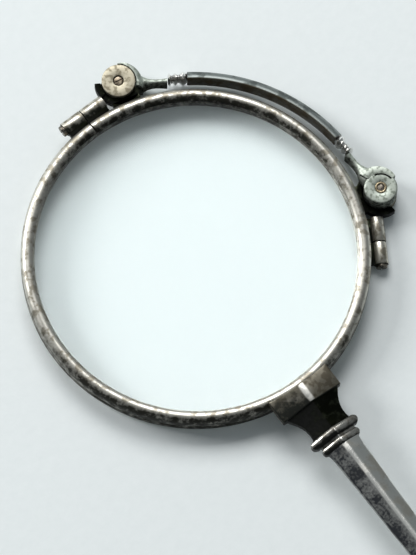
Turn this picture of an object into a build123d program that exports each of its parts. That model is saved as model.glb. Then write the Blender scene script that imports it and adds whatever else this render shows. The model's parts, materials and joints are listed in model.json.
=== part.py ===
from build123d import *
import math
import os

os.makedirs("parts", exist_ok=True)

# All lengths in millimetres. The lenses lie in the XY plane, the front faces +Z,
# the handle runs towards -Y, and z = 0 is the table the folded lorgnette lies on.

# Where the folded lenses sit
lens_x = -1.9964
lens_y = 44.0273
lens_z = 1.75
bridge_heading = 30.7

# Rims and lenses
rim_in_r = 18.65
rim_out_r = 20.25
rim_z0 = 0.1
rim_z1 = 1.7
rim_mid_z = 0.9
lens_mid_z = 0.78
lens_r = 18.95
lens_edge_t = 0.7
lens_sag = 0.3
groove_r = 19.0
groove_w = 0.8

# Closing barrels that clamp each split rim round its lens
split_angle = 61.1
split_gap = 0.12
barrel_axis_r = 21.35
barrel_r = 0.85
plain_len = 2.7
tapped_len = 3.0
clamp_screw_r = 0.4
clamp_head_r = 0.68
clamp_head_len = 0.32

# Hinges between the rims and the bridge
hinge_angle = 46.3
hinge_at_r = 22.87
leaf_r = 1.97
leaf_z0 = 0.7
leaf_z1 = 1.75
wall_in_r = 2.1
wall_out_r = 2.95
ear_out_r = 2.8
ear_z1 = 1.35
post_z1 = 1.1
cheek_z1 = 1.55
cheek_edge = 0.55
knuckle_r = 1.95
knuckle_z0 = -1.75
knuckle_z1 = 0.52
cheek_from = -79.2
cheek_outline = (
    (-79.2, 2.95),
    (-70.8, 2.92),
    (-50.8, 2.76),
    (-32.8, 2.62),
    (-11.8, 2.52),
    (7.7, 2.4),
    (27.0, 2.22),
)
cheek_to = 27.0
ear_from = 118.2
ear_to = 278.8
recess_r = 0.62
screw_head_r = 0.57
screw_r = 0.4
bush_r = 0.7

# Bridge bar and its turned ends
bar_flat_r = 21.5
bar_thick = 1.14
bar_half = 1.35
bar_half_angle = 25.7

# Handle
cap_y0 = 19.4
cap_y1 = 22.4
handle_z = 1.75
shaft_y0 = 29.5
shaft_y1 = 92.0
knob_r = 3.5
knob_neck_r = math.sqrt(3.5**2 - 2.9**2)
eye_y = 103.4
eye_r = 0.9
lug_r = 1.7
lug_t = 1.4
ribbon_major_r = 4.4
ribbon_wire_r = 0.6

heading = (math.cos(math.radians(bridge_heading)), math.sin(math.radians(bridge_heading)), 0)
centre = (lens_x, lens_y, lens_z)
front_seat = Plane(origin=centre, x_dir=heading, z_dir=(0, 0, 1))
rear_seat = Plane(origin=centre, x_dir=heading, z_dir=(0, 0, -1))


def polar(radius, angle):
    """A point in a seat's plane, by its distance and heading from the lens centre."""
    a = math.radians(angle)
    return (radius * math.cos(a), radius * math.sin(a))


def upright(seat, angle, radius=0.0, height=0.0):
    """A plane that cuts the rim square at an angle: x runs outwards and y towards the front."""
    x, y = polar(1.0, angle)
    out = seat.x_dir * x + seat.y_dir * y
    side = seat.x_dir * y - seat.y_dir * x
    origin = seat.origin + out * radius + seat.z_dir * height
    return Plane(origin=origin, x_dir=out, z_dir=side)


def seat_axis(seat):
    """The line through the middle of the lens."""
    return Axis(seat.origin, seat.z_dir)


def hinge_plane(seat, height):
    """A plane square to a hinge's axis, centred on it, with x along the bridge heading."""
    x, y = polar(hinge_at_r, hinge_angle)
    origin = seat.origin + seat.x_dir * x + seat.y_dir * y + seat.z_dir * height
    return Plane(origin=origin, x_dir=seat.x_dir, z_dir=seat.z_dir)


def handle_plane(distance):
    """A plane square to the handle at a distance below the lens centre."""
    origin = (lens_x, lens_y - distance, lens_z + handle_z)
    return Plane(origin=origin, x_dir=(1, 0, 0), z_dir=(0, -1, 0))


def pie(radius, start, end):
    """Corner points of a wedge that covers the angles from start to end."""
    steps = max(2, math.ceil((end - start) / 30))
    rim = [polar(radius, start + (end - start) * i / steps) for i in range(steps + 1)]
    return [(0, 0)] + rim


def six_sides(width, thickness, side):
    """Corner points of the handle's flattened six-sided section, ridge to the front."""
    w = width / 2
    t = thickness / 2
    s = side / 2
    return [(-w, -s), (0, -t), (w, -s), (w, s), (0, t), (-w, s)]


rims = {}
for name, seat in (("front", front_seat), ("rear", rear_seat)):
    # Rim: a silver band with a round front and a groove inside, split where the barrel closes it
    with BuildPart() as rim:
        with BuildSketch(upright(seat, 0)):
            width = rim_out_r - rim_in_r
            with Locations((rim_in_r + width / 2, rim_z1 - width / 2)):
                Circle(width / 2)
            with Locations((rim_in_r + width / 2, (rim_z0 + rim_mid_z) / 2)):
                Rectangle(width, rim_mid_z - rim_z0)
            with Locations((rim_in_r, lens_mid_z)):
                Rectangle(2 * (groove_r - rim_in_r), groove_w, mode=Mode.SUBTRACT)
        revolve(axis=seat_axis(seat))
        with BuildSketch(seat):
            with Locations(Location(polar(20, split_angle) + (0,), (0, 0, split_angle))):
                Rectangle(6, split_gap)
        extrude(amount=3, mode=Mode.SUBTRACT)
    rim.part.label = name + "_rim"
    export_step(rim.part, "parts/" + name + "_rim.step")
    rims[name] = rim.part

    # Lens: shallow reading lens, curved on both faces, with a plain ground edge
    with BuildPart() as lens:
        with BuildSketch(upright(seat, 0)):
            with BuildLine():
                half = lens_edge_t / 2
                top = half + lens_sag
                sphere = (lens_r**2 + lens_sag**2) / (2 * lens_sag)
                middle = top - sphere + math.sqrt(sphere**2 - lens_r**2 / 4)
                Line((0, lens_mid_z - top), (0, lens_mid_z + top))
                ThreePointArc(
                    (0, lens_mid_z + top),
                    (lens_r / 2, lens_mid_z + middle),
                    (lens_r, lens_mid_z + half),
                )
                Line((lens_r, lens_mid_z + half), (lens_r, lens_mid_z - half))
                ThreePointArc(
                    (lens_r, lens_mid_z - half),
                    (lens_r / 2, lens_mid_z - middle),
                    (0, lens_mid_z - top),
                )
            make_face()
        revolve(axis=seat_axis(seat))
    lens.part.label = name + "_lens"
    export_step(lens.part, "parts/" + name + "_lens.step")

    # Plain half of the closing barrel: the screw passes through it
    barrel_end = upright(seat, split_angle, barrel_axis_r, rim_mid_z)
    away = Plane(origin=barrel_end.origin, x_dir=barrel_end.x_dir, z_dir=-barrel_end.z_dir)
    with BuildPart() as plain_half:
        with BuildSketch(away.offset(split_gap / 2)):
            Circle(barrel_r)
            with Locations((-1.0, 0)):
                Rectangle(2.0, 0.9)
        extrude(amount=plain_len)
        add(rims[name], mode=Mode.SUBTRACT)
        with BuildSketch(seat):
            Circle(rim_out_r - 0.3)
        extrude(amount=3, mode=Mode.SUBTRACT)
        with BuildSketch(away):
            Circle(clamp_screw_r + 0.05)
        extrude(amount=6, mode=Mode.SUBTRACT)
    plain_half.part.label = name + "_clamp_plain"
    export_step(plain_half.part, "parts/" + name + "_clamp_plain.step")

    # Tapped half of the closing barrel, on the hinge side of the split
    with BuildPart() as tapped_half:
        with BuildSketch(barrel_end.offset(split_gap / 2)):
            Circle(barrel_r)
            with Locations((-1.0, 0)):
                Rectangle(2.0, 0.9)
        extrude(amount=tapped_len)
        add(rims[name], mode=Mode.SUBTRACT)
        with BuildSketch(seat):
            Circle(rim_out_r - 0.3)
        extrude(amount=3, mode=Mode.SUBTRACT)
        with BuildSketch(hinge_plane(seat, -1)):
            Circle(ear_out_r)
        extrude(amount=4, mode=Mode.SUBTRACT)
        with BuildSketch(barrel_end):
            Circle(clamp_screw_r + 0.01)
        extrude(amount=2.0, mode=Mode.SUBTRACT)
    tapped_half.part.label = name + "_clamp_tapped"
    export_step(tapped_half.part, "parts/" + name + "_clamp_tapped.step")

    # Closing screw: a slotted cheese head on the plain half's outer end
    head_seat = plain_len + split_gap / 2
    with BuildPart() as clamp_screw:
        with BuildSketch(away.offset(head_seat)):
            Circle(clamp_head_r)
        extrude(amount=clamp_head_len)
        with BuildSketch(away.offset(head_seat)):
            Circle(clamp_screw_r)
        extrude(amount=-(head_seat + 1.8))
        with BuildSketch(away.offset(head_seat + clamp_head_len)):
            Rectangle(0.2, 2)
        extrude(amount=-0.16, mode=Mode.SUBTRACT)
    clamp_screw.part.label = name + "_clamp_screw"
    export_step(clamp_screw.part, "parts/" + name + "_clamp_screw.step")

    # Hinge leaf: a disc on a curved post that is soldered to the rim
    toward_rim = hinge_angle + 180
    with BuildPart() as leaf:
        with BuildSketch(hinge_plane(seat, leaf_z0)):
            Circle(leaf_r)
        extrude(amount=leaf_z1 - leaf_z0)
        with BuildSketch(hinge_plane(seat, rim_z0)):
            Polygon(*pie(8, ear_from, ear_to), align=None)
            Circle(ear_out_r, mode=Mode.INTERSECT)
            with Locations(Location(polar(ear_out_r, toward_rim) + (0,), (0, 0, toward_rim))):
                Rectangle(1.4, 3.4)
        extrude(amount=post_z1 - rim_z0)
        with BuildSketch(hinge_plane(seat, rim_z0)):
            Polygon(*pie(8, ear_from, ear_from + 40), align=None)
            Circle(ear_out_r, mode=Mode.INTERSECT)
        extrude(amount=ear_z1 - rim_z0)
        with BuildSketch(hinge_plane(seat, rim_z0)):
            Circle(wall_in_r)
        extrude(amount=leaf_z0 - rim_z0, mode=Mode.SUBTRACT)
        add(rims[name], mode=Mode.SUBTRACT)
        with BuildSketch(seat):
            Circle(rim_out_r - 0.3)
        extrude(amount=3, mode=Mode.SUBTRACT)
        with BuildSketch(hinge_plane(seat, leaf_z1)):
            Circle(recess_r)
        extrude(amount=-0.5, mode=Mode.SUBTRACT)
        with BuildSketch(hinge_plane(seat, leaf_z1)):
            Circle(screw_r + 0.05)
        extrude(amount=-2, mode=Mode.SUBTRACT)
    leaf.part.label = name + "_hinge_leaf"
    export_step(leaf.part, "parts/" + name + "_hinge_leaf.step")

    # Knuckle on the bridge: a disc, a curved cheek that stops the swing, and a waisted neck
    with BuildPart() as knuckle:
        hinge_mid = hinge_plane(seat, 0)
        with BuildSketch(Plane(origin=hinge_mid.origin, x_dir=seat.x_dir, z_dir=-seat.y_dir)):
            Polygon(
                (0, knuckle_z0),
                (wall_out_r, knuckle_z0),
                (wall_out_r, cheek_z1 - cheek_edge),
                (wall_out_r - cheek_edge, cheek_z1),
                (0, cheek_z1),
                align=None,
            )
        revolve(axis=Axis(hinge_mid.origin, seat.z_dir))
        with BuildSketch(hinge_plane(seat, knuckle_z0)):
            Polygon((0, 0), *[polar(radius, angle) for angle, radius in cheek_outline], align=None)
        extrude(amount=4, mode=Mode.INTERSECT)
        with BuildSketch(hinge_plane(seat, knuckle_z0)):
            Circle(knuckle_r)
        extrude(amount=knuckle_z1 - knuckle_z0)
        x, y = polar(1.0, -64.5)
        along = seat.x_dir * x + seat.y_dir * y
        across = seat.x_dir * -y + seat.y_dir * x
        for reach, wide, tall, shift in (
            (1.5, 2.2, 2.8, -0.2),
            (2.6, 2.1, 2.5, -0.15),
            (3.4, 1.15, 2.1, -0.05),
            (4.4, 0.8, 1.9, 0),
            (5.7, 0.95, 2.3, 0),
        ):
            start = hinge_plane(seat, shift).origin + along * reach
            with BuildSketch(Plane(origin=start, x_dir=across, z_dir=along)):
                RectangleRounded(wide, tall, wide * 0.3)
        loft()
        with BuildSketch(hinge_plane(seat, knuckle_z1)):
            Circle(wall_in_r)
        extrude(amount=3, mode=Mode.SUBTRACT)
        with BuildSketch(hinge_plane(seat, rim_z0 - 0.1)):
            Polygon(*pie(8, ear_from, ear_to + 1), align=None)
            Circle(wall_out_r + 0.3, mode=Mode.INTERSECT)
            Circle(wall_in_r - 0.05, mode=Mode.SUBTRACT)
        extrude(amount=3, mode=Mode.SUBTRACT)
        with BuildSketch(hinge_plane(seat, knuckle_z0)):
            Polygon(*pie(8, cheek_from, cheek_to - 10), align=None)
            Circle(wall_in_r, mode=Mode.INTERSECT)
            Circle(wall_in_r - 0.14, mode=Mode.SUBTRACT)
        extrude(amount=0.14, mode=Mode.SUBTRACT)
        with BuildSketch(hinge_plane(seat, knuckle_z0)):
            Circle(bush_r + 0.01)
        extrude(amount=4, mode=Mode.SUBTRACT)
    knuckle.part.label = "bridge_" + name + "_knuckle"
    export_step(knuckle.part, "parts/bridge_" + name + "_knuckle.step")

    # Brass bush pressed into the knuckle, tapped for the hinge screw
    with BuildPart() as bush:
        with BuildSketch(hinge_plane(seat, knuckle_z0)):
            Circle(bush_r)
            Circle(screw_r + 0.01, mode=Mode.SUBTRACT)
        extrude(amount=knuckle_z1 - knuckle_z0)
    bush.part.label = name + "_hinge_bush"
    export_step(bush.part, "parts/" + name + "_hinge_bush.step")

    # Hinge screw: slotted head sunk in the leaf, shank down into the bush
    with BuildPart() as hinge_screw:
        with BuildSketch(hinge_plane(seat, leaf_z1 - 0.5)):
            Circle(screw_head_r)
        extrude(amount=0.38)
        with BuildSketch(hinge_plane(seat, leaf_z1 - 0.5)):
            Circle(screw_r)
        extrude(amount=-(leaf_z1 - 0.5 - knuckle_z0 - 0.06))
        with BuildSketch(hinge_plane(seat, leaf_z1 - 0.12)):
            Rectangle(2, 0.2, rotation=-40)
        extrude(amount=-0.16, mode=Mode.SUBTRACT)
    hinge_screw.part.label = name + "_hinge_screw"
    export_step(hinge_screw.part, "parts/" + name + "_hinge_screw.step")

    # Dished friction washer between leaf and knuckle
    with BuildPart() as washer:
        hinge_mid = hinge_plane(seat, 0)
        with BuildSketch(Plane(origin=hinge_mid.origin, x_dir=seat.x_dir, z_dir=-seat.y_dir)):
            Polygon((0.5, 0.61), (1.6, 0.53), (1.6, 0.61), (0.5, 0.69), align=None)
        revolve(axis=Axis(hinge_mid.origin, seat.z_dir))
    washer.part.label = name + "_hinge_washer"
    export_step(washer.part, "parts/" + name + "_hinge_washer.step")

    # Ferrule: two beads and a collar between the knuckle's neck and the bar
    with BuildPart() as ferrule:
        for a0, a1, half, thick in (
            (25.75, 26.3, 1.1, 0.7),
            (26.3, 28.2, 1.42, 1.3),
            (28.2, 29.0, 1.05, 0.72),
            (29.0, 30.2, 1.34, 1.1),
            (30.2, 30.8, 1.05, 0.7),
            (30.8, 31.6, 1.42, 1.25),
        ):
            with BuildSketch(upright(seat, a1, bar_flat_r + 0.42)):
                RectangleRounded(thick, 2 * half, thick * 0.45)
            revolve(axis=seat_axis(seat), revolution_arc=-(a1 - a0))
    ferrule.part.label = "bridge_" + name + "_ferrule"
    export_step(ferrule.part, "parts/bridge_" + name + "_ferrule.step")

# Bridge bar: half-round bar bent to follow the rims, flat side inwards
with BuildPart() as bar:
    with BuildSketch(upright(front_seat, -bar_half_angle, bar_flat_r)):
        Ellipse(bar_thick, bar_half)
        with Locations((-2, 0)):
            Rectangle(4, 8, mode=Mode.SUBTRACT)
    revolve(axis=seat_axis(front_seat), revolution_arc=2 * bar_half_angle)
bar.part.label = "bridge_bar"
export_step(bar.part, "parts/bridge_bar.step")

# Handle head: six-sided cap on the front rim, a cove, a collar and a bead
with BuildPart() as head:
    for steps in (
        ((cap_y0, 8.07, 3.4, 1.3), (cap_y1, 8.07, 3.4, 1.3)),
        ((cap_y1 - 0.2, 7.3, 3.0, 1.1), (23.4, 5.7, 2.7, 1.0), (24.8, 4.8, 2.4, 0.9), (26.2, 5.0, 2.4, 0.9)),
        ((26.1, 5.8, 3.0, 1.0), (26.35, 6.4, 3.36, 1.1), (26.85, 6.4, 3.36, 1.1), (27.1, 5.8, 3.0, 1.0)),
        ((27.0, 4.6, 2.5, 0.9), (27.6, 4.6, 2.5, 0.9)),
        ((27.5, 4.7, 2.7, 0.9), (27.7, 5.07, 2.9, 1.0), (28.1, 5.07, 2.9, 1.0), (28.3, 4.7, 2.7, 0.9)),
        ((28.2, 4.3, 2.6, 0.9), (28.8, 3.9, 2.5, 0.9), (shaft_y0, 3.9, 2.6, 0.9)),
    ):
        for at, wide, thick, side in steps:
            with BuildSketch(handle_plane(at)):
                Polygon(*six_sides(wide, thick, side), align=None)
        loft(ruled=True)
    add(rims["front"], mode=Mode.SUBTRACT)
head.part.label = "handle_head"
export_step(head.part, "parts/handle_head.step")

# Handle shaft: slender six-sided bar that tapers and then swells to the end
with BuildPart() as shaft:
    for at, wide, thick, side in (
        (shaft_y0, 3.9, 2.9, 0.9),
        (42.0, 3.24, 2.6, 0.8),
        (62.0, 2.9, 2.4, 0.8),
        (shaft_y1, 3.5, 2.8, 0.9),
    ):
        with BuildSketch(handle_plane(at)):
            Polygon(*six_sides(wide, thick, side), align=None)
    loft()
shaft.part.label = "handle_shaft"
export_step(shaft.part, "parts/handle_shaft.step")

# Finial: turned collar and knob with a drilled lug at the end
with BuildPart() as finial:
    with BuildSketch(Plane(origin=handle_plane(0).origin, x_dir=(0, 0, 1), z_dir=(1, 0, 0))):
        with BuildLine():
            Polyline((0, shaft_y1), (2.2, shaft_y1), (2.5, shaft_y1 + 0.3), (2.5, shaft_y1 + 0.9))
            Line((2.5, shaft_y1 + 0.9), (1.5, shaft_y1 + 1.3))
            ThreePointArc((1.5, shaft_y1 + 1.3), (1.35, shaft_y1 + 2.1), (knob_neck_r, shaft_y1 + 3.1))
            ThreePointArc(
                (knob_neck_r, shaft_y1 + 3.1),
                (knob_r, shaft_y1 + 6.0),
                (knob_neck_r, shaft_y1 + 8.9),
            )
            Polyline(
                (knob_neck_r, shaft_y1 + 8.9),
                (1.5, shaft_y1 + 9.4),
                (0, shaft_y1 + 9.4),
                (0, shaft_y1),
            )
        make_face()
    revolve(axis=Axis(handle_plane(0).origin, (0, -1, 0)))
    eye_plane = Plane(origin=handle_plane(eye_y).origin, x_dir=(0, -1, 0), z_dir=(1, 0, 0))
    with BuildSketch(eye_plane.offset(-lug_t / 2)):
        Circle(lug_r)
        with Locations((-1.6, 0)):
            Rectangle(3.2, 2.2)
    extrude(amount=lug_t)
    with BuildSketch(eye_plane.offset(-lug_t)):
        Circle(eye_r)
    extrude(amount=2 * lug_t, mode=Mode.SUBTRACT)
finial.part.label = "handle_finial"
export_step(finial.part, "parts/handle_finial.step")

# Ribbon ring: loose wire ring through the lug, its far side down on the table
drop = lens_z + handle_z - ribbon_wire_r
tilt = math.asin(drop / (2 * ribbon_major_r))
eye = handle_plane(eye_y).origin
lie = Vector(0, -math.cos(tilt), -math.sin(tilt))
ring_centre = eye + lie * ribbon_major_r
ring_normal = Vector(0, -math.sin(tilt), math.cos(tilt))
with BuildPart() as ribbon:
    with BuildSketch(Plane(origin=ring_centre, x_dir=lie, z_dir=(1, 0, 0))):
        with Locations((ribbon_major_r, 0)):
            Circle(ribbon_wire_r)
    revolve(axis=Axis(ring_centre, ring_normal))
ribbon.part.label = "ribbon_ring"
export_step(ribbon.part, "parts/ribbon_ring.step")
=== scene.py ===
import json
import math
import bmesh
import bpy
from mathutils import Euler, Matrix, Vector


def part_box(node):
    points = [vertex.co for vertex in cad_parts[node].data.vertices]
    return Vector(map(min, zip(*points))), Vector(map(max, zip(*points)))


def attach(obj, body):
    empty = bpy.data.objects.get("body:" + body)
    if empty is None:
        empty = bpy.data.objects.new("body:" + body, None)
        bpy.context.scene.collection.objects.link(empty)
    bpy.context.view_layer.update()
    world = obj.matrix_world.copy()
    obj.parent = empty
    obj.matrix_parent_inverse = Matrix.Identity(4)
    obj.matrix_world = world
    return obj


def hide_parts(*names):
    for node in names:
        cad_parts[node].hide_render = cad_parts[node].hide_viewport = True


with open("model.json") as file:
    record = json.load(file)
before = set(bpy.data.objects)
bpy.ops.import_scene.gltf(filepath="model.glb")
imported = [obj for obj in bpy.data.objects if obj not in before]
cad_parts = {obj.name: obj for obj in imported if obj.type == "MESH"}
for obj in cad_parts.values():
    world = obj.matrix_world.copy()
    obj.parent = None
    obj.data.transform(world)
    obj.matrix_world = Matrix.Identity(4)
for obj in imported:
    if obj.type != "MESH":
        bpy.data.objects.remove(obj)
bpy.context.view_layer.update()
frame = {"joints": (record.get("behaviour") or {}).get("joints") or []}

# ---------------------------------------------------------------- the two lens rims
# Each rim is a ring of half-round silver wire, grooved inside to hold the lens and
# cut through once where its closing barrel draws it tight. Thumbs keep the crown
# bright, while the outer wall and the cut stay dark with old tarnish and painted shade.

mm = 0.001
rim_inside, rim_outside = 18.65, 20.25
rim_back, rim_spring, rim_crown, crown_sweep = 0.1, 0.9, 0.8, 165
groove_bottom, groove_low, groove_high = 19.0, 0.38, 1.1
split_at, split_wide = 61.1, 0.12


def middle_of(*nodes):
    """The middle of the box round some CAD nodes."""
    corners = [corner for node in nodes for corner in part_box(node)]
    return sum(corners, Vector()) / len(corners)


def joint_place(name):
    """Where a joint's axis stands."""
    return Vector(next(j for j in frame["joints"] if j["name"] == name)["pos_m"])


fold_centre = middle_of("front_lens", "rear_lens")
hinge_spread = [joint_place(name) - fold_centre for name in ("bridge_swing", "lens_swing")]
bridge_way = sum((s.xy.normalized() for s in hinge_spread), Vector((0, 0))).normalized()
bridge_turn = math.atan2(bridge_way.y, bridge_way.x)
front_seat = Matrix.Translation(fold_centre) @ Matrix.Rotation(bridge_turn, 4, "Z") @ Matrix.Scale(mm, 4)
rear_seat = front_seat @ Matrix.Rotation(math.pi, 4, "X")
sides = (("front", front_seat, "handle_side"), ("rear", rear_seat, "folding_lens"))


def arc(centre, radius, start, end, steps):
    """Points (across, up) along a round stretch of an outline."""
    turns = [math.radians(start + (end - start) * i / steps) for i in range(steps + 1)]
    return [(centre[0] + radius * math.cos(t), centre[1] + radius * math.sin(t)) for t in turns]


def spun(outline, start=0, sweep=360, steps=120, closed=True):
    """A solid from an outline of (radius, height) points turned about the upright axis."""
    bm = bmesh.new()
    first = Matrix.Rotation(math.radians(start), 3, "Z")
    corners = [bm.verts.new(first @ Vector((r, 0, z))) for r, z in outline]
    ahead = corners[1:] + corners[:1] if closed else corners[1:]
    edges = [bm.edges.new(pair) for pair in zip(corners, ahead)]
    full = sweep == 360
    turned = bmesh.ops.spin(
        bm, geom=corners + edges, cent=(0, 0, 0), axis=(0, 0, 1), dvec=(0, 0, 0),
        angle=math.radians(sweep), steps=steps, use_merge=full,
    )
    if not full:
        bm.faces.new(corners)
        bm.faces.new([v for v in turned["geom_last"] if isinstance(v, bmesh.types.BMVert)])
    return bm


def soften(bm, width, least=32, most=180, steps=2):
    """Rounds every edge that turns by least to most degrees, as filing and wear do."""
    bmesh.ops.remove_doubles(bm, verts=bm.verts, dist=0.001)
    bmesh.ops.recalc_face_normals(bm, faces=bm.faces)
    paired = [e for e in bm.edges if len(e.link_faces) == 2]
    sharp = [e for e in paired if least < math.degrees(e.calc_face_angle()) <= most]
    bmesh.ops.bevel(
        bm, geom=sharp, offset=width, offset_type="OFFSET", segments=steps,
        profile=0.5, affect="EDGES", clamp_overlap=True, material=-1,
    )
    return bm


def together(*shapes):
    """Several shapes as one."""
    whole = shapes[0]
    for shape in shapes[1:]:
        extra = bpy.data.meshes.new("extra")
        shape.to_mesh(extra)
        whole.from_mesh(extra)
        bpy.data.meshes.remove(extra)
        shape.free()
    return whole


def moved(bm, matrix):
    """The same shape, turned and shifted."""
    bmesh.ops.transform(bm, matrix=matrix, verts=bm.verts)
    return bm


def settle(bm, name, place, finish, body, slot, *nodes):
    """Puts a finished shape in its place on the object, in its own finish, riding on its body."""
    bmesh.ops.recalc_face_normals(bm, faces=bm.faces)
    bmesh.ops.transform(bm, matrix=place, verts=bm.verts)
    mesh = bpy.data.meshes.new(name)
    bm.to_mesh(mesh)
    bm.free()
    mesh.shade_smooth()
    mesh.set_sharp_from_angle(angle=math.radians(38))
    mesh.materials.append(finish)
    piece = bpy.data.objects.new(name, mesh)
    bpy.context.scene.collection.objects.link(piece)
    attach(piece, body)
    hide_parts(*nodes)


def linear(code):
    """A hex colour as written for the screen, turned to linear light."""
    channels = [int(code[i:i + 2], 16) / 255 for i in (1, 3, 5)]
    return [c / 12.92 if c <= 0.04045 else ((c + 0.055) / 1.055) ** 2.4 for c in channels] + [1]


def add_node(tree, kind, sockets, **settings):
    """Adds a shader node with its settings, and fills its sockets with values or links."""
    node = tree.nodes.new(kind)
    for key, value in settings.items():
        setattr(node, key, value)
    for key, value in sockets.items():
        if isinstance(value, bpy.types.NodeSocket):
            tree.links.new(value, node.inputs[key])
        else:
            node.inputs[key].default_value = value
    return node


# The side darkened with painted shade: down the handle, to its left and a little upwards
painted_shade_way = Vector((-0.5, -0.72, 0.4)).normalized()


# Sterling silver, hammered or drawn, worn bright by hands and never cleaned in its corners:
# soft white metal with warm grey clouds, pits, and olive-black sulphide in every recess.
# Painted shade deepens the recesses, the upright walls and the flank facing down the handle,
# and a painted highlight brightens a ridge that lies uppermost.
def old_silver(name, bright, cloud, tarnish, cover=0.5, wall=0.5, flank_shade=0.8, ridge=0.0,
               cloud_mm=1.6, pit_mm=0.28, nook_mm=0.9, gloss=0.24):
    """Tarnished silver: how much is clouded, how dark its walls grow with tarnish and painted shade, how dark
    painted shade makes its sheltered side, and how bright a painted highlight its ridge gets.
    """
    finish = bpy.data.materials.new(name)
    finish.use_nodes = True
    tree = finish.node_tree
    tree.nodes.clear()
    where = add_node(tree, "ShaderNodeTexCoord", {})
    clouds = add_node(tree, "ShaderNodeTexNoise", {
        "Vector": where.outputs["Object"], "Scale": 1 / (cloud_mm * mm), "Detail": 4, "Roughness": 0.55,
    })
    pits = add_node(tree, "ShaderNodeTexNoise", {
        "Vector": where.outputs["Object"], "Scale": 1 / (pit_mm * mm), "Detail": 3, "Roughness": 0.6,
    })
    clouded = add_node(tree, "ShaderNodeMapRange", {
        "Value": clouds.outputs["Fac"], "From Min": 0.68 - 0.4 * cover, "From Max": 0.82 - 0.4 * cover,
    }, interpolation_type="SMOOTHSTEP")
    skin = add_node(tree, "ShaderNodeMix", {
        0: clouded.outputs[0], 6: linear(bright), 7: linear(cloud),
    }, data_type="RGBA")
    # Recesses: where little of the sky round the piece is open, darkened with tarnish and painted shade
    corner = add_node(tree, "ShaderNodeAmbientOcclusion", {
        "Distance": nook_mm * mm,
    }, samples=6, only_local=True)
    recess = add_node(tree, "ShaderNodeMapRange", {
        "Value": corner.outputs["AO"], "From Min": 0.9, "From Max": 0.45,
    })
    # Walls: what stands upright is darkened with tarnish and painted shade, and what faces down the handle
    # with painted shade alone
    facing = add_node(tree, "ShaderNodeSeparateXYZ", {"Vector": where.outputs["Normal"]})
    upright = add_node(tree, "ShaderNodeMath", {0: facing.outputs["Z"]}, operation="ABSOLUTE")
    walls = add_node(tree, "ShaderNodeMapRange", {
        "Value": upright.outputs[0], "From Min": 0.4, "From Max": 0.05, "To Max": wall,
    })
    down_handle = add_node(tree, "ShaderNodeVectorMath", {
        0: where.outputs["Normal"], 1: painted_shade_way,
    }, operation="DOT_PRODUCT")
    painted_flank_shade = add_node(tree, "ShaderNodeMapRange", {
        "Value": down_handle.outputs["Value"], "From Min": 0.3, "From Max": 0.8, "To Max": flank_shade,
    })
    unrubbed_and_shaded = add_node(tree, "ShaderNodeMath", {
        0: walls.outputs[0], 1: painted_flank_shade.outputs[0],
    }, operation="MAXIMUM")
    dark = add_node(tree, "ShaderNodeMath", {
        0: recess.outputs[0], 1: unrubbed_and_shaded.outputs[0],
    }, operation="MAXIMUM")
    # Tarnish and painted shade are never even: they thin and thicken with the clouds and the pits
    patchy = add_node(tree, "ShaderNodeMapRange", {
        "Value": clouds.outputs["Fac"], "From Min": 0.3, "From Max": 0.65, "To Min": -0.3, "To Max": 0.3,
    })
    speckle = add_node(tree, "ShaderNodeMapRange", {
        "Value": pits.outputs["Fac"], "From Min": 0.35, "From Max": 0.7, "To Min": -0.16, "To Max": 0.22,
    })
    uneven = add_node(tree, "ShaderNodeMath", {0: patchy.outputs[0], 1: speckle.outputs[0]}, operation="ADD")
    gated = add_node(tree, "ShaderNodeMath", {
        0: dark.outputs[0], 1: uneven.outputs[0], 2: dark.outputs[0],
    }, operation="MULTIPLY_ADD")
    # Ridges: a blunt ridge that lies uppermost is painted with a near-white highlight
    paler_patch = add_node(tree, "ShaderNodeMapRange", {
        "Value": upright.outputs[0], "From Min": 0.968, "From Max": 0.99, "To Max": ridge,
    })
    tarnish_and_shade = add_node(tree, "ShaderNodeMath", {
        0: gated.outputs[0], 1: paler_patch.outputs[0],
    }, operation="SUBTRACT", use_clamp=True)
    ridge_highlighted = add_node(tree, "ShaderNodeMix", {
        0: paler_patch.outputs[0], 6: skin.outputs[2], 7: linear("#F4F2EC"),
    }, data_type="RGBA")
    colour = add_node(tree, "ShaderNodeMix", {
        0: tarnish_and_shade.outputs[0], 6: ridge_highlighted.outputs[2], 7: linear(tarnish),
    }, data_type="RGBA")
    metallic = add_node(tree, "ShaderNodeMapRange", {
        "Value": tarnish_and_shade.outputs[0], "From Min": 0.2, "From Max": 1.0, "To Min": 1.0, "To Max": 0.55,
    })
    rough = add_node(tree, "ShaderNodeMath", {
        0: clouded.outputs[0], 1: 0.14, 2: gloss,
    }, operation="MULTIPLY_ADD")
    rougher = add_node(tree, "ShaderNodeMath", {
        0: tarnish_and_shade.outputs[0], 1: 0.22, 2: rough.outputs[0],
    }, operation="MULTIPLY_ADD", use_clamp=True)
    bumps = add_node(tree, "ShaderNodeBump", {
        "Height": pits.outputs["Fac"], "Strength": 0.35, "Distance": 0.03 * mm,
    })
    shader = add_node(tree, "ShaderNodeBsdfPrincipled", {
        "Base Color": colour.outputs[2], "Metallic": metallic.outputs[0],
        "Roughness": rougher.outputs[0], "Normal": bumps.outputs[0],
    })
    add_node(tree, "ShaderNodeOutputMaterial", {"Surface": shader.outputs[0]})
    return finish


# Worn silver wire: a pale, finely clouded crown with a soft shine, and olive-black walls from tarnish
# together with painted shade.
rim_silver = old_silver(
    "worn_silver_wire", "#D6D3C9", "#A39D8F", "#1F1E16",
    cover=0.5, wall=0.9, flank_shade=1.0, cloud_mm=0.9, gloss=0.36,
)

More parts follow.
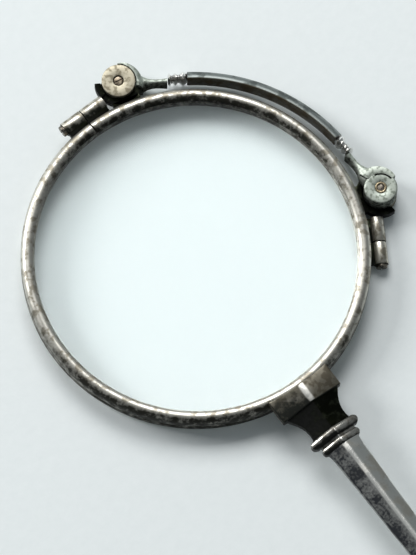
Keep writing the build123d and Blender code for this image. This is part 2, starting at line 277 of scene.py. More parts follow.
for side, seat, body in sides:
    band = (rim_inside + rim_outside) / 2
    outline = [(rim_inside, groove_low), (rim_inside, rim_back), (rim_outside, rim_back)]
    outline += arc((band, rim_spring), rim_crown, 0, crown_sweep, 16)
    outline += [(groove_bottom, groove_high), (groove_bottom, groove_low)]
    gap = math.degrees(split_wide / band)
    ring = spun(outline, start=split_at + gap / 2, sweep=360 - gap, steps=300)
    settle(soften(ring, 0.07), "rim_" + side, seat, rim_silver, body, "silver", side + "_rim")

# ---------------------------------------------------------------- the two lenses
# Shallow reading lenses of clear crown glass, ground and polished on both faces. The real
# edge is plain and matt and sits in the rim's groove; here it is drawn in the same clear glass. They are
# sprung in at the split.

lens_radius, lens_edge, lens_rise, lens_level, lens_band = 18.95, 0.7, 0.3, 0.78, 0.1


def bowed(radius, level, rise, steps):
    """Points from the axis over a shallow dome to its edge, with a narrow band last."""
    ball = (radius**2 + rise**2) / (2 * rise)
    out = [radius * i / steps for i in range(steps)] + [radius - lens_band, radius]
    return [(r, level + rise - ball + math.sqrt(ball**2 - r**2)) for r in out]


# Polished crown glass: almost no colour, a clear gleam, and a light shadow under it.
lens_glass = bpy.data.materials.new("polished_crown_glass")
lens_glass.use_nodes = True
glass_tree = lens_glass.node_tree
glass_tree.nodes.clear()
clear_glass = add_node(glass_tree, "ShaderNodeBsdfPrincipled", {
    "Base Color": linear("#FDFEFE"), "Roughness": 0.0, "IOR": 1.52, "Transmission Weight": 1.0,
})
let_through = add_node(glass_tree, "ShaderNodeBsdfTransparent", {"Color": linear("#FDFEFE")})
ray_kind = add_node(glass_tree, "ShaderNodeLightPath", {})
# Most of what the table scatters goes straight through, so the table stays bright behind the lens
spread_light = add_node(glass_tree, "ShaderNodeMath", {
    0: ray_kind.outputs["Is Diffuse Ray"], 1: 0.86,
}, operation="MULTIPLY")
unseen = add_node(glass_tree, "ShaderNodeMath", {
    0: ray_kind.outputs["Is Shadow Ray"], 1: spread_light.outputs[0],
}, operation="MAXIMUM")
pane = add_node(glass_tree, "ShaderNodeMixShader", {
    0: unseen.outputs[0], 1: clear_glass.outputs[0], 2: let_through.outputs[0],
})
add_node(glass_tree, "ShaderNodeOutputMaterial", {"Surface": pane.outputs[0]})

for side, seat, body in sides:
    upper = bowed(lens_radius, lens_level + lens_edge / 2, lens_rise, 24)
    lower = [(r, 2 * lens_level - z) for r, z in reversed(upper)]
    lens = spun(upper + lower, steps=180, closed=False)
    soften(lens, 0.08)
    settle(lens, "lens_" + side, seat, lens_glass, body, "lens_glass", side + "_lens")

# ---------------------------------------------------------------- closing barrels
# A short silver tube is soldered to the outside of each rim and sawn through with it.
# One half is plain, the other tapped, and a screw along them pulls the split shut.

barrel_out, barrel_up, barrel_radius = 21.35, 0.9, 0.85
plain_long, tapped_long = 2.7, 3.0
bore_radius, mouth_radius, mouth_deep = 0.45, 0.72, 0.1
foot_from, foot_to, foot_high, foot_short = -1.35, -0.3, 0.9, 0.1
cutter_over = 1


def carved(bm, cutter):
    """The shape with another cut out of it."""
    blanks = []
    for shape in (bm, cutter):
        bmesh.ops.recalc_face_normals(shape, faces=shape.faces)
        mesh = bpy.data.meshes.new("blank")
        shape.to_mesh(mesh)
        blank = bpy.data.objects.new("blank", mesh)
        bpy.context.scene.collection.objects.link(blank)
        blanks.append(blank)
    work, tool = blanks
    cut = work.modifiers.new("cut", "BOOLEAN")
    cut.object = tool
    cut.operation = "DIFFERENCE"
    cut.solver = "EXACT"
    ready = work.evaluated_get(bpy.context.evaluated_depsgraph_get())
    result = bpy.data.meshes.new_from_object(ready)
    bm.clear()
    bm.from_mesh(result)
    cutter.free()
    for blank in blanks:
        bpy.data.meshes.remove(blank.data)
    bpy.data.meshes.remove(result)
    return bm


def block(low, high):
    """A squared block between two corners."""
    bm = bmesh.new()
    bmesh.ops.create_cube(bm, size=1)
    bmesh.ops.translate(bm, vec=(0.5, 0.5, 0.5), verts=bm.verts)
    size = [b - a for a, b in zip(low, high)]
    bmesh.ops.scale(bm, vec=size, verts=bm.verts)
    bmesh.ops.translate(bm, vec=low, verts=bm.verts)
    return bm


def rod(radius, start, end, steps=48):
    """A plain round rod along the upright axis."""
    return spun([(0, start), (radius, start), (radius, end), (0, end)], steps=steps, closed=False)


def barrel_place(seat):
    """Where a closing barrel lies, beside the split of a rim."""
    beside = Matrix.Translation((barrel_out, 0, barrel_up))
    return seat @ Matrix.Rotation(math.radians(split_at), 4, "Z") @ beside


# Blackened silver, never touched: near-black green-brown with hardly any shine. On the cove, the hinge ears
# and the barrel feet, which sit deep between other parts, this near-black is partly painted shade.
black_silver = old_silver(
    "blackened_and_shaded_silver", "#2E3127", "#10120C", "#060704",
    cover=0.8, wall=0.9, flank_shade=1.0, cloud_mm=1.0, gloss=0.32,
)
# Drawn silver tube: grey-white along its top, clouded brown-grey, dark down both sides with tarnish and
# painted shade.
barrel_silver = old_silver(
    "drawn_silver_tube", "#CFCBBF", "#8E887A", "#1C1F16",
    cover=0.5, wall=0.85, flank_shade=1.0, cloud_mm=0.9, gloss=0.36,
)
lie_along = Matrix.Rotation(math.radians(-90), 4, "X")

for side, seat, body in sides:
    for half, length in (("plain", plain_long), ("tapped", tapped_long)):
        tube = rod(barrel_radius, split_wide / 2, length)
        tube = carved(tube, rod(bore_radius, -cutter_over, length + cutter_over, steps=24))
        if half == "plain":
            tube = carved(tube, rod(mouth_radius, length - mouth_deep, length + cutter_over, steps=32))
        soften(moved(tube, lie_along), 0.06)
        # The foot is coloured near-black, partly as painted shade between tube and rim
        foot = block(
            (foot_from, split_wide / 2, -foot_high / 2), (foot_to, length - foot_short, foot_high / 2),
        )
        if half == "tapped":
            tube = moved(tube, Matrix.Rotation(math.pi, 4, "Z"))
            foot = moved(foot, Matrix.Scale(-1, 4, (0, 1, 0)))
        for shape, name, finish in (
            (tube, "barrel_", barrel_silver), (soften(foot, 0.06), "barrel_foot_", black_silver),
        ):
            settle(
                shape, name + half + "_" + side, barrel_place(seat), finish,
                body, "silver", side + "_clamp_" + half,
            )

# ---------------------------------------------------------------- closing screws
# A cheese-headed steel screw goes in at the outer end of the plain half and threads
# into the tapped half. Its head is slotted, dark and a little chewed.

clamp_head_radius, clamp_head_long, clamp_head_sunk = 0.68, 0.32, 0.1
clamp_shank, clamp_reach = 0.4, 1.8
slot_wide, slot_deep, saw_half = 0.2, 0.16, 2


# Tool steel gone brown with age: dull metal, lighter where rubbed and rusty in spots.
def dull_steel(name, base, paler_patch, rust):
    """Old screw steel, rubbed lighter in patches and browned in others."""
    finish = bpy.data.materials.new(name)
    finish.use_nodes = True
    tree = finish.node_tree
    tree.nodes.clear()
    where = add_node(tree, "ShaderNodeTexCoord", {})
    patches = add_node(tree, "ShaderNodeTexNoise", {
        "Vector": where.outputs["Object"], "Scale": 1 / (0.5 * mm), "Detail": 4, "Roughness": 0.6,
    })
    spots = add_node(tree, "ShaderNodeTexNoise", {
        "Vector": where.outputs["Object"], "Scale": 1 / (0.22 * mm), "Detail": 2,
    })
    lighter = add_node(tree, "ShaderNodeMapRange", {
        "Value": patches.outputs["Fac"], "From Min": 0.42, "From Max": 0.6,
    })
    steel = add_node(tree, "ShaderNodeMix", {
        0: lighter.outputs[0], 6: linear(base), 7: linear(paler_patch),
    }, data_type="RGBA")
    brown = add_node(tree, "ShaderNodeMapRange", {
        "Value": spots.outputs["Fac"], "From Min": 0.55, "From Max": 0.7,
    })
    colour = add_node(tree, "ShaderNodeMix", {
        0: brown.outputs[0], 6: steel.outputs[2], 7: linear(rust),
    }, data_type="RGBA")
    rough = add_node(tree, "ShaderNodeMapRange", {
        "Value": patches.outputs["Fac"], "To Min": 0.6, "To Max": 0.3,
    })
    bumps = add_node(tree, "ShaderNodeBump", {
        "Height": spots.outputs["Fac"], "Strength": 0.4, "Distance": 0.02 * mm,
    })
    shader = add_node(tree, "ShaderNodeBsdfPrincipled", {
        "Base Color": colour.outputs[2], "Metallic": 1.0,
        "Roughness": rough.outputs[0], "Normal": bumps.outputs[0],
    })
    add_node(tree, "ShaderNodeOutputMaterial", {"Surface": shader.outputs[0]})
    return finish


# Blackened screw steel: dark brown-grey with paler rubbed patches.
clamp_steel = dull_steel("blackened_screw_steel", "#3A3732", "#8C857A", "#2A211A")


def slotted_head(radius, low, high, edge=0.06, turn=0):
    """A screw head with a sawn slot and a rounded edge."""
    head = soften(rod(radius, low, high), edge, steps=3)
    saw = block((-saw_half, -slot_wide / 2, high - slot_deep), (saw_half, slot_wide / 2, high + cutter_over))
    return carved(head, moved(saw, Matrix.Rotation(math.radians(turn), 4, "Z")))


head_at = plain_long + split_wide / 2

for side, seat, body in sides:
    head = slotted_head(clamp_head_radius, head_at - clamp_head_sunk, head_at + clamp_head_long, turn=90)
    shank = soften(rod(clamp_shank, -clamp_reach, head_at, steps=24), 0.05)
    screw = moved(together(head, shank), lie_along)
    settle(
        screw, "closing_screw_" + side, barrel_place(seat), clamp_steel,
        body, "screw_steel", side + "_clamp_screw",
    )

# ---------------------------------------------------------------- hinge leaves
# Each rim carries a thick silver disc on a curved ear that is soldered to the rim.
# The disc is counterbored for the hinge screw; its face is pitted, its wall black with tarnish and painted
# shade.

hinge_at, hinge_out = 46.3, 22.87
leaf_radius, leaf_low, leaf_high = 1.97, 0.7, 1.75
ear_from, ear_to, ear_inside, ear_outside = 118.2, 278.8, 2.1, 2.8
ear_low, ear_high, ear_tip, ear_tip_long, ear_lap = 0.1, 1.1, 1.35, 40, 0.2
tongue_half, tongue_to = 1.7, 3.4
recess_radius, recess_deep, screw_hole = 0.62, 0.5, 0.45
hinge_turn = Matrix.Rotation(math.radians(hinge_at), 4, "Z")
hinge_shift = hinge_turn @ Matrix.Translation((hinge_out, 0, 0)) @ hinge_turn.inverted()
toward_rim = Matrix.Rotation(math.radians(hinge_at + 180), 4, "Z")

# Pitted silver disc: a matt, warm grey-white face full of fine pits, with a wall blackened by tarnish and
# painted shade.
leaf_silver = old_silver(
    "pitted_silver_disc", "#BDB6A2", "#A09884", "#1E1F17",
    cover=0.5, wall=0.9, flank_shade=0.5, cloud_mm=0.6, pit_mm=0.2, nook_mm=0.4, gloss=0.5,
)

for side, seat, body in sides:
    disc = spun([
        (screw_hole, leaf_low), (leaf_radius, leaf_low), (leaf_radius, leaf_high),
        (recess_radius, leaf_high), (recess_radius, leaf_high - recess_deep),
        (screw_hole, leaf_high - recess_deep),
    ], steps=96)
    soften(disc, 0.08, steps=3)
    wall = [
        (leaf_radius - ear_lap, leaf_low), (ear_inside, leaf_low), (ear_inside, ear_low),
        (ear_outside, ear_low), (ear_outside, ear_high), (leaf_radius - ear_lap, ear_high),
    ]
    ear = soften(spun(wall, start=ear_from, sweep=ear_to - ear_from, steps=40), 0.08)
    tip_wall = [
        (ear_inside, ear_high - ear_lap), (ear_outside, ear_high - ear_lap),
        (ear_outside, ear_tip), (ear_inside, ear_tip),
    ]
    tip = soften(spun(tip_wall, start=ear_from, sweep=ear_tip_long, steps=16), 0.08)
    tongue = soften(block((ear_inside, -tongue_half, ear_low), (tongue_to, tongue_half, ear_high)), 0.08)
    ear = together(ear, tip, moved(tongue, toward_rim))
    # The ear is coloured near-black, partly as painted shade between disc and rim
    for shape, name, finish in ((disc, "hinge_leaf_", leaf_silver), (ear, "hinge_ear_", black_silver)):
        settle(shape, name + side, seat @ hinge_shift, finish, body, "silver", side + "_hinge_leaf")

# ---------------------------------------------------------------- bridge knuckles
# At each end of the bridge a thick disc turns against its leaf. A curved cheek rises
# beside the leaf and stops the swing, and a waisted neck runs back to the bar.

knuckle_radius, knuckle_low, knuckle_high = 1.95, -1.75, 0.52
chamfer_wide, chamfer_high, bush_radius = 0.14, 0.1, 0.7
cheek_high, cheek_edge, cheek_inside, cheek_flat = 1.55, 0.55, 2.1, 2.4
blank_inside, blank_outside = 1.5, 3.0
cheek_reach = ((-79.2, 2.95), (-50.8, 2.76), (-11.8, 2.52), (27.0, 2.22))
neck_at = -64.5

# Forged silver: a matt, cool green-grey skin with close fine pits, dark with tarnish and painted shade where
# it is let in.
knuckle_silver = old_silver(
    "forged_silver_knuckle", "#B9C0B6", "#9BA297", "#20231B",
    cover=0.5, wall=0.7, flank_shade=0.8, cloud_mm=0.45, pit_mm=0.18, nook_mm=0.5, gloss=0.52,
)


def reach_at(angle):
    """How far the cheek's outside stands from the hinge axis at an angle."""
    for (a0, r0), (a1, r1) in zip(cheek_reach, cheek_reach[1:]):
        if angle <= a1 or a1 == cheek_reach[-1][0]:
            return r0 + (r1 - r0) * (angle - a0) / (a1 - a0)


def oval(across, high, steps=24, squareness=2.6):
    """A flat oval face, a little squared, to draw a bar out from."""
    bm = bmesh.new()
    bmesh.ops.create_circle(bm, cap_ends=True, radius=1, segments=steps)
    for v in bm.verts:
        grow = (abs(v.co.x) ** squareness + abs(v.co.y) ** squareness) ** (-1 / squareness)
        v.co = Vector((v.co.x * grow * across / 2, v.co.y * grow * high / 2, 0))
    return bm


def drawn_out(bm, sections):
    """Draws a flat end face out through sections of (distance, across, high, shift up)."""
    end = list(bm.faces)[0]
    at, across, high, up = sections[0]
    bmesh.ops.translate(bm, vec=(0, up, at), verts=end.verts)
    for far, wide, tall, lift in sections[1:]:
        grown = bmesh.ops.extrude_face_region(bm, geom=[end])
        end = next(g for g in grown["geom"] if isinstance(g, bmesh.types.BMFace))
        bmesh.ops.translate(bm, vec=(0, -up, 0), verts=end.verts)
        bmesh.ops.scale(bm, vec=(wide / across, tall / high, 1), verts=end.verts)
        bmesh.ops.translate(bm, vec=(0, lift, far - at), verts=end.verts)
        at, across, high, up = far, wide, tall, lift
    inner = [f for f in bm.faces if f is not end and all(len(e.link_faces) > 2 for e in f.edges)]
    bmesh.ops.delete(bm, geom=inner, context="FACES_ONLY")
    return bm


for side, seat, body in sides:
    disc = spun([
        (bush_radius, knuckle_low), (knuckle_radius - chamfer_wide, knuckle_low),
        (knuckle_radius, knuckle_low + chamfer_high), (knuckle_radius, knuckle_high),
        (bush_radius, knuckle_high),
    ], steps=96)
    soften(disc, 0.07)
    start, end = cheek_reach[0][0], cheek_reach[-1][0]
    shell = [
        (blank_inside, knuckle_low), (blank_outside, knuckle_low), (blank_outside, cheek_high - cheek_edge),
        (blank_outside - cheek_edge, cheek_high), (cheek_inside, cheek_high),
        (cheek_inside, knuckle_high), (blank_inside, knuckle_high),
    ]
    cheek = spun(shell, start=start, sweep=end - start, steps=36)
    # The blank's outside is filed in to the cheek's own outline, and its slope with it
    for v in cheek.verts:
        out = v.co.xy.length
        outermost = out > blank_outside - 0.1
        limit = reach_at(math.degrees(math.atan2(v.co.y, v.co.x)))
        if out > limit - 0.4 and out > cheek_inside + 0.05:
            corner = limit - cheek_edge
            if v.co.z > cheek_high - cheek_edge - 0.01:
                reach = limit if outermost else max(corner, cheek_inside + 0.06)
                v.co.z = cheek_high - max(0, limit - cheek_flat) if outermost else cheek_high
            else:
                reach = limit
            v.co.x *= reach / out
            v.co.y *= reach / out
    soften(cheek, 0.08)
    neck = drawn_out(oval(2.2, 2.8), (
        (1.5, 2.2, 2.8, -0.2), (2.1, 2.15, 2.7, -0.18), (2.6, 2.0, 2.5, -0.15), (3.0, 1.55, 2.28, -0.1),
        (3.4, 1.15, 2.1, -0.05), (3.9, 0.9, 1.96, -0.02), (4.4, 0.8, 1.9, 0), (5.0, 0.84, 2.05, 0),
        (5.7, 0.95, 2.3, 0),
    ))
    lay_neck = Matrix.Rotation(math.radians(neck_at), 4, "Z") @ Matrix.Rotation(math.radians(90), 4, "Y")
    lay_neck = lay_neck @ Matrix.Rotation(math.radians(90), 4, "Z")
    knuckle = together(disc, cheek, moved(neck, lay_neck))
    settle(
        knuckle, "knuckle_" + side, seat @ hinge_shift, knuckle_silver,
        "bridge", "silver", "bridge_" + side + "_knuckle",
    )

# ---------------------------------------------------------------- hinge bushes, washers and screws
# A brass bush is pressed through each knuckle and tapped for the hinge screw. The screw's
# slotted head sits sunk in the leaf, and a thin dished steel washer gives the hinge its drag.

# Turned brass, aged: a dull grey-yellow ring that has gone brown in patches.
bush_brass = bpy.data.materials.new("aged_turned_brass")
bush_brass.use_nodes = True
brass_tree = bush_brass.node_tree
brass_tree.nodes.clear()
brass_where = add_node(brass_tree, "ShaderNodeTexCoord", {})
brass_noise = add_node(brass_tree, "ShaderNodeTexNoise", {
    "Vector": brass_where.outputs["Object"], "Scale": 1 / (0.35 * mm), "Detail": 4,
})
brass_age = add_node(brass_tree, "ShaderNodeMapRange", {
    "Value": brass_noise.outputs["Fac"], "From Min": 0.4, "From Max": 0.65,
})
brass_colour = add_node(brass_tree, "ShaderNodeMix", {
    0: brass_age.outputs[0], 6: linear("#A2957A"), 7: linear("#4A4336"),
}, data_type="RGBA")
brass_rough = add_node(brass_tree, "ShaderNodeMapRange", {
    "Value": brass_noise.outputs["Fac"], "To Min": 0.2, "To Max": 0.5,
})
brass_shader = add_node(brass_tree, "ShaderNodeBsdfPrincipled", {
    "Base Color": brass_colour.outputs[2], "Metallic": 1.0, "Roughness": brass_rough.outputs[0],
})
add_node(brass_tree, "ShaderNodeOutputMaterial", {"Surface": brass_shader.outputs[0]})

# Browned screw steel: a warm grey-brown head, paler where a driver has rubbed it.
hinge_steel = dull_steel("browned_screw_steel", "#6B6154", "#A99C88", "#3A2D20")
hinge_shank, hinge_head, hinge_head_sunk, bush_play = 0.4, 0.57, 0.12, 0.01
shank_short, shank_let_in = 0.06, 0.1
washer_outline = [(0.5, 0.61), (1.6, 0.53), (1.6, 0.61), (0.5, 0.69)]
head_low = leaf_high - recess_deep

for side, seat, body in sides:
    bush = spun([
        (hinge_shank + bush_play, knuckle_low), (bush_radius, knuckle_low),
        (bush_radius, knuckle_high), (hinge_shank + bush_play, knuckle_high),
    ], steps=48)
    settle(
        soften(bush, 0.05), "hinge_bush_" + side, seat @ hinge_shift, bush_brass,
        "bridge", "bush_brass", side + "_hinge_bush",
    )
    washer = spun(washer_outline, steps=64)
    settle(
        soften(washer, 0.02), "drag_washer_" + side, seat @ hinge_shift, clamp_steel,
        "bridge", "screw_steel", side + "_hinge_washer",
    )
    head = slotted_head(hinge_head, head_low, leaf_high - hinge_head_sunk, edge=0.12, turn=-40)
    shank = soften(rod(hinge_shank, knuckle_low + shank_short, head_low + shank_let_in, steps=32), 0.05)
    for shape, name, finish in (
        (head, "hinge_screw_head_", hinge_steel), (shank, "hinge_screw_shank_", clamp_steel),
    ):
        settle(shape, name + side, seat @ hinge_shift, finish, "bridge", "screw_steel", side + "_hinge_screw")

# ---------------------------------------------------------------- bridge ferrules
# Two turned beads and a collar finish each end of the bar, where the knuckle's neck
# is let in and soldered. The beads are bright on top with black tarnish and painted shade between them.

bar_flat, bar_thick, bar_half, bar_reach = 21.5, 1.14, 1.35, 25.7
ferrule_middle, ferrule_axis, ferrule_across, ferrule_high = 28.7, bar_flat + 0.42, 0.85, 2.4
ferrule_beads = ((25.9, 28.1, 2.84, 1.3), (28.6, 30.1, 2.68, 1.15), (30.7, 31.6, 2.84, 1.25))
bead_groove = 0.62

# Beaded silver: the brightest metal on the piece, near-white tops with grooves between made black by tarnish
# and painted shade.
ferrule_silver = old_silver(
    "beaded_silver", "#F6F5F2", "#D5D2CB", "#0D0E09",
    cover=0.3, wall=0.2, flank_shade=0.3, cloud_mm=0.8, nook_mm=0.3, gloss=0.22,
)


def bead(start, end, across, high, groove):
    """Sections of one rounded bead between two grooves."""
    rounds = [math.sin(math.radians(a)) for a in (0, 25, 50, 90, 130, 155, 180)]
    shares = [(1 - math.cos(math.radians(a))) / 2 for a in (0, 40, 70, 90, 110, 140, 180)]
    full = [groove + (1 - groove) * r for r in rounds]
    return [(start + (end - start) * s, across * f, high * f, 0) for s, f in zip(shares, full)]


for side, seat, body in sides:
    degree_long = math.radians(1) * ferrule_axis
    sections = [((bar_reach - ferrule_middle) * degree_long, ferrule_across, ferrule_high, 0)]
    for a0, a1, high, across in ferrule_beads:
        bead_from, bead_to = (a0 - ferrule_middle) * degree_long, (a1 - ferrule_middle) * degree_long
        sections += bead(bead_from, bead_to, across, high, bead_groove)
    ferrule = drawn_out(oval(ferrule_across, ferrule_high, steps=32), sections)
    stand = Matrix.Rotation(math.radians(ferrule_middle), 4, "Z") @ Matrix.Translation((ferrule_axis, 0, 0))
    stand = stand @ Matrix.Rotation(math.radians(-90), 4, "X") @ Matrix.Scale(-1, 4, (0, 1, 0))
    settle(
        moved(ferrule, stand), "ferrule_" + side, seat, ferrule_silver,
        "bridge", "silver", "bridge_" + side + "_ferrule",
    )

# ---------------------------------------------------------------- bridge bar
# A length of half-round silver bar, bent to follow the rims with its flat side inwards.
# The rounded outside is rubbed to a cool grey and the flat inside is brown with tarnish and painted shade.

# Half-round silver bar: a cool mid-grey, half matt, with warm brown on its walls from tarnish together with
# painted shade.
bar_silver = old_silver(
    "half_round_silver_bar", "#868C8A", "#5E6462", "#5C523F",
    cover=0.5, wall=0.75, flank_shade=0.8, cloud_mm=1.6, gloss=0.44,
)
bar_turns = [math.radians(a) for a in range(-90, 91, 9)]
bar_outline = [(bar_flat + bar_thick * math.cos(t), bar_half * math.sin(t)) for t in bar_turns]
bar = soften(spun(bar_outline, start=-bar_reach, sweep=2 * bar_reach, steps=90), 0.1, least=50, steps=3)
settle(bar, "bar_of_bridge", front_seat, bar_silver, "bridge", "silver", "bridge_bar")

# ---------------------------------------------------------------- handle head
# A six-sided silver cap, filed to fit round the front rim and soldered there, runs through a
# deep black cove into a collar, a bead and a short waist that runs on into the shaft.

six_side_share, cap_bite, bite_half = 0.36, 0.45, 6
handle_axis = middle_of("handle_shaft")
handle_place = Matrix.Translation((fold_centre.x, fold_centre.y, handle_axis.z))
handle_place = handle_place @ Matrix.Rotation(math.radians(90), 4, "X")
handle_place = handle_place @ Matrix.Scale(mm, 4)

# Clouded silver facets: dim brown-grey, made black on the sheltered side with painted shade, and a painted
# highlight along the ridge.
head_silver = old_silver(
    "clouded_silver_facets", "#7B766A", "#575247", "#0F120B",
    cover=0.6, wall=0.35, flank_shade=1.5, ridge=0.7, cloud_mm=0.8, pit_mm=0.24, gloss=0.34,
)


def six_sided(across, high):
    """A flattened six-sided face, ridged at top and bottom, to draw the handle out from."""
    bm = bmesh.new()
    bmesh.ops.create_circle(bm, cap_ends=True, radius=1, segments=6)
    for v in bm.verts:
        ridge = abs(v.co.x) < 0.1
        v.co.y = math.copysign(0.5 if ridge else 0.5 * six_side_share, v.co.y) * high
        v.co.x = 0 if ridge else math.copysign(across / 2, v.co.x)
    return bm


# Silver collar: light grey with a painted highlight on top, black in its grooves with tarnish and painted
# shade, and black on its lee side with painted shade.
collar_silver = old_silver(
    "silver_collar_highlit", "#B5B3AC", "#76736C", "#0B0D08",
    cover=0.5, wall=0.75, flank_shade=1.3, ridge=0.6, cloud_mm=0.9, gloss=0.24,
)
# Long silver facets: pale, softly shining in broad clouds, with painted shade making the sheltered facet
# blue-black and a painted highlight along the ridge.
shaft_silver = old_silver(
    "long_silver_facets", "#CDCEC9", "#A5A39B", "#23262A",
    cover=0.45, wall=0.5, flank_shade=1.35, ridge=0.6, cloud_mm=3.2, pit_mm=0.3, gloss=0.3,
)

cap = drawn_out(six_sided(8.07, 3.4), ((18.9, 8.07, 3.4, 0), (22.4, 8.07, 3.4, 0)))
rim_bite = rod(rim_outside - cap_bite, -bite_half, bite_half, steps=180)
cap = carved(cap, moved(rim_bite, Matrix.Rotation(math.radians(90), 4, "X")))
# The long ridges are worn blunt; the ends are only broken
soften(cap, 0.45, least=14, most=45, steps=6)
soften(cap, 0.14, least=45, steps=3)
cove = drawn_out(six_sided(7.4, 3.05), (
    (22.2, 7.4, 3.05, 0), (22.7, 6.75, 2.9, 0), (23.2, 6.05, 2.74, 0), (23.8, 5.4, 2.58, 0),
    (24.4, 4.98, 2.46, 0), (25.0, 4.78, 2.4, 0), (25.6, 4.8, 2.38, 0), (26.2, 5.1, 2.44, 0),
))
soften(cove, 0.08, least=18)
collars = [
    drawn_out(six_sided(5.5, 2.9), (
        (26.05, 5.5, 2.9, 0), (26.2, 6.05, 3.15, 0), (26.42, 6.36, 3.34, 0), (26.75, 6.38, 3.36, 0),
        (26.98, 6.1, 3.2, 0), (27.15, 5.5, 2.9, 0),
    )),
    drawn_out(six_sided(4.6, 2.5), ((26.9, 4.6, 2.5, 0), (27.7, 4.6, 2.5, 0))),
    drawn_out(six_sided(4.5, 2.6), (
        (27.45, 4.5, 2.6, 0), (27.6, 4.9, 2.8, 0), (27.85, 5.07, 2.9, 0), (28.15, 4.95, 2.84, 0),
        (28.35, 4.5, 2.6, 0),
    )),
]
collars = together(*[soften(shape, 0.08, least=18) for shape in collars])
waist = drawn_out(six_sided(4.3, 2.6), (
    (28.2, 4.4, 2.8, 0), (28.5, 4.15, 2.82, 0), (28.9, 4.0, 2.87, 0), (29.5, 3.9, 2.9, 0),
))
soften(waist, 0.5, least=40, most=58, steps=6)
for shape, name, finish in (
    (cap, "cap_of_handle", head_silver),
    # The cove is near-black, partly as painted shade in its hollow
    (cove, "cove_of_handle", black_silver),
    (collars, "collars_of_handle", collar_silver),
    (waist, "waist_of_handle", shaft_silver),
):
    settle(shape, name, handle_place, finish, "handle_side", "silver", "handle_head")

# ---------------------------------------------------------------- handle shaft
# A slender six-sided bar of silver that tapers from the head and swells again towards
# the finial. A painted highlight runs down the ridge of its front; painted shade makes its sheltered facet
# blue-black.

shaft = drawn_out(six_sided(3.9, 2.9), (
    (29.5, 3.9, 2.9, 0), (35.0, 3.58, 2.75, 0), (42.0, 3.24, 2.6, 0), (51.0, 3.0, 2.48, 0),
    (62.0, 2.9, 2.42, 0), (77.0, 3.1, 2.55, 0), (92.0, 3.5, 2.8, 0),
))
soften(shaft, 0.5, least=40, most=58, steps=6)
soften(shaft, 0.18, least=58, most=80, steps=3)
settle(shaft, "shaft_of_handle", handle_place, shaft_silver, "handle_side", "silver", "handle_shaft")

# ---------------------------------------------------------------- finial
# A silver collar and knob close the end of the handle, with a small lug drilled
# crosswise for the ribbon ring. It is turned from the solid and soldered on.

knob_at, knob_radius, knob_half = 98.0, 3.5, 2.9
eye_at, eye_radius, lug_radius, lug_thick = 103.4, 0.9, 1.7, 1.4
knob_side = math.degrees(math.asin(knob_half / knob_radius))
finial_outline = [(0, 92.0), (2.2, 92.0), (2.5, 92.25), (2.5, 92.9), (1.6, 93.3), (1.35, 94.0)]
finial_outline += arc((0, knob_at), knob_radius, -knob_side, knob_side, 24)
finial_outline += [(1.5, 101.4), (1.1, 101.6), (0, 101.6)]
finial = soften(spun(finial_outline, steps=72, closed=False), 0.08, least=30)
lug = spun([
    (eye_radius, -lug_thick / 2), (lug_radius, -lug_thick / 2),
    (lug_radius, lug_thick / 2), (eye_radius, lug_thick / 2),
], steps=64)
lug_stand = Matrix.Translation((0, 0, eye_at)) @ Matrix.Rotation(math.pi / 2, 4, "Y")
lug = moved(soften(lug, 0.18, steps=3), lug_stand)

# Turned silver knob: bright and glossy, with broad warm clouds and a sheltered side darkened with painted
# shade.
finial_silver = old_silver(
    "turned_silver_knob", "#D8D4CB", "#A39C90", "#22221A",
    cover=0.45, wall=0.25, cloud_mm=1.8, gloss=0.22,
)
settle(
    together(finial, lug), "finial_of_handle", handle_place, finial_silver,
    "handle_side", "silver", "handle_finial",
)

# ---------------------------------------------------------------- ribbon ring
# A loose ring of round silver wire, closed through the lug. A ribbon or chain is worn
# through it, which keeps most of it bright.

ring_radius, wire_radius = 4.4, 0.6
ring_pivot = joint_place("ribbon_ring_swing")
ring_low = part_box("ribbon_ring")[0]
ring_tilt = math.asin((ring_pivot.z - ring_low.z - wire_radius * mm) / (2 * ring_radius * mm))
# Round silver wire: the cleanest silver, near-white and glossy with a few grey clouds, and a little painted
# shade on the side facing down the handle.
ring_silver = old_silver(
    "round_silver_wire", "#E2DFD8", "#B4AEA3", "#34332A",
    cover=0.35, wall=0.1, gloss=0.2,
)
wire = spun(arc((ring_radius, 0), wire_radius, 0, 345, 23), steps=120)
hang = Matrix.Translation(ring_pivot) @ Matrix.Rotation(ring_tilt, 4, "X") @ Matrix.Scale(mm, 4)
hang = hang @ Matrix.Translation((0, -ring_radius, 0))
settle(wire, "ring_for_ribbon", hang, ring_silver, "ribbon_ring", "silver", "ribbon_ring")

# ---------------------------------------------------------------- table, light and camera
# The folded lorgnette lies on a sheet of cool white drawing paper in a dim room, with a
# broad window beyond it and a smaller one to the left.

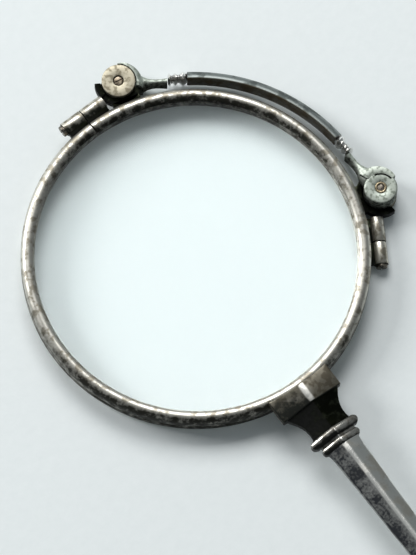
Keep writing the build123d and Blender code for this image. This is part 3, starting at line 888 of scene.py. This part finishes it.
# Cool white paper: matt, faintly blue, with a slight cockle and no visible grain.
paper = bpy.data.materials.new("cool_white_paper")
paper.use_nodes = True
paper_tree = paper.node_tree
paper_tree.nodes.clear()
paper_where = add_node(paper_tree, "ShaderNodeTexCoord", {})
cockle = add_node(paper_tree, "ShaderNodeTexNoise", {
    "Vector": paper_where.outputs["Object"], "Scale": 1 / (1.2 * mm), "Detail": 6, "Roughness": 0.7,
})
paper_tone = add_node(paper_tree, "ShaderNodeMix", {
    0: cockle.outputs["Fac"], 6: linear("#E4EAEA"), 7: linear("#EEF3F3"),
}, data_type="RGBA")
paper_tooth = add_node(paper_tree, "ShaderNodeBump", {
    "Height": cockle.outputs["Fac"], "Strength": 0.25, "Distance": 0.08 * mm,
})
paper_shader = add_node(paper_tree, "ShaderNodeBsdfPrincipled", {
    "Base Color": paper_tone.outputs[2], "Roughness": 0.85,
    "Specular IOR Level": 0.2, "Normal": paper_tooth.outputs[0],
})
add_node(paper_tree, "ShaderNodeOutputMaterial", {"Surface": paper_shader.outputs[0]})
sheet = bmesh.new()
bmesh.ops.create_grid(sheet, x_segments=2, y_segments=2, size=1.5)
sheet_mesh = bpy.data.meshes.new("paper_sheet")
sheet.to_mesh(sheet_mesh)
sheet.free()
sheet_mesh.materials.append(paper)
table = bpy.data.objects.new("paper_sheet", sheet_mesh)
bpy.context.scene.collection.objects.link(table)

room = bpy.data.worlds.new("dim_room")
room.use_nodes = True
room_light = room.node_tree.nodes["Background"]
room_light.inputs["Color"].default_value = linear("#DDE6EA")
room_light.inputs["Strength"].default_value = 0.27
bpy.context.scene.world = room

camera_angles = (16.93, -1.245, -36.39)
camera_off = (1.389, -2.289, 600)
camera_turn = Euler([math.radians(a) for a in camera_angles]).to_matrix()


def soft_light(name, way, far, size, watts):
    """A soft light that shines on the lenses from a direction given as the camera sees it."""
    lamp = bpy.data.lights.new(name, "AREA")
    lamp.shape = "RECTANGLE"
    lamp.size, lamp.size_y = size
    lamp.energy = watts
    holder = bpy.data.objects.new(name, lamp)
    toward = camera_turn @ Vector(way).normalized()
    holder.location = fold_centre + toward * far
    holder.rotation_euler = toward.to_track_quat("Z", "Y").to_euler()
    bpy.context.scene.collection.objects.link(holder)


soft_light("window", (-0.1, 0.82, 0.5), 0.8, (0.5, 0.4), 4.3)
soft_light("side_window", (-0.82, 0.45, 0.38), 0.8, (0.3, 0.3), 4.0)

lens_of_camera = bpy.data.cameras.new("camera")
lens_of_camera.lens = 336.7
lens_of_camera.clip_start = 0.01
camera = bpy.data.objects.new("camera", lens_of_camera)
camera.location = fold_centre + camera_turn @ Vector(camera_off) * mm
camera.rotation_euler = camera_turn.to_euler()
bpy.context.scene.collection.objects.link(camera)
bpy.context.scene.camera = camera
bpy.context.scene.view_settings.view_transform = "Standard"
